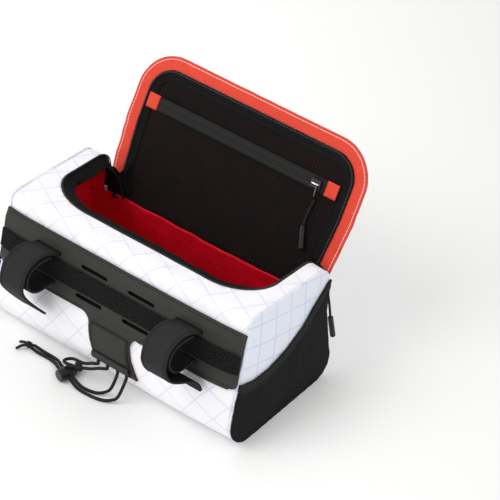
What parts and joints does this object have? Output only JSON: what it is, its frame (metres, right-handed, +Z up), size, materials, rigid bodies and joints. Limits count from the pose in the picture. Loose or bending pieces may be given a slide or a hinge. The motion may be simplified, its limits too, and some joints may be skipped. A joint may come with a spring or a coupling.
{
  "type": "bicycle handlebar bag",
  "caption": "Soft box-shaped handlebar bag with its zipped lid folded open, end pockets, a slotted mounting band, two hook-and-loop straps and a shock cord with a cord lock.",
  "frame": {"origin": "on the floor under the bag, in the middle of its width, at the centre of the flat base mount", "axes": "+X across the bag, along the handlebar; -Y towards the handlebar; +Z up"},
  "size_m": [0.2676, 0.2348, 0.1794],
  "materials": {
    "white_cloth": "woven ripstop, slightly glossy",
    "orange_cloth": "woven, satin",
    "red_lining": "woven, satin",
    "black_cloth": "matt",
    "band_laminate": "smooth coated laminate, satin",
    "black_plastic": "moulded, satin",
    "slider_metal": "dark plated"
  },
  "bodies": {
    "bag": {"main_panel": "white_cloth", "end_panel_left": "white_cloth", "end_panel_right": "white_cloth", "lid_panel": "white_cloth", "lid_flange": "orange_cloth", "zip_tab_left": "orange_cloth", "zip_tab_right": "orange_cloth", "lining": "red_lining", "rim_tape": "black_cloth", "mesh_pocket_left": "black_cloth", "mesh_pocket_right": "black_cloth", "pocket_hem_left": "black_cloth", "pocket_hem_right": "black_cloth", "lid_zip_tape": "black_cloth", "lid_mesh_lower": "black_cloth", "lid_mesh_upper": "black_cloth", "pocket_zip_tape": "black_cloth", "loop_strip": "black_cloth", "strap_left": "black_cloth", "strap_right": "black_cloth", "main_pull_cord": "black_cloth", "pocket_pull_cord": "black_cloth", "shock_cord_outer": "black_cloth", "shock_cord_inner": "black_cloth", "lock_loop": "black_cloth", "cord_knot": "black_cloth", "mount_band": "band_laminate", "tab_patch": "band_laminate", "tab_hem": "band_laminate", "rim_coil": "black_plastic", "lid_coil": "black_plastic", "main_slider": "black_plastic", "main_pull_grip": "black_plastic", "pocket_pull_grip": "black_plastic", "cord_lock_body": "black_plastic", "pocket_slider": "slider_metal", "pocket_pull_wire": "slider_metal"},
    "button": {"cord_lock_button": "black_plastic"}
  },
  "joints": [
    {"name": "cord_lock_press", "type": "slide", "parent": "bag", "child": "button", "axis": [-0.2317, -0.9728, 0], "range_m": [0, 0.0025], "stiffness_N_per_m": 80}
  ]
}
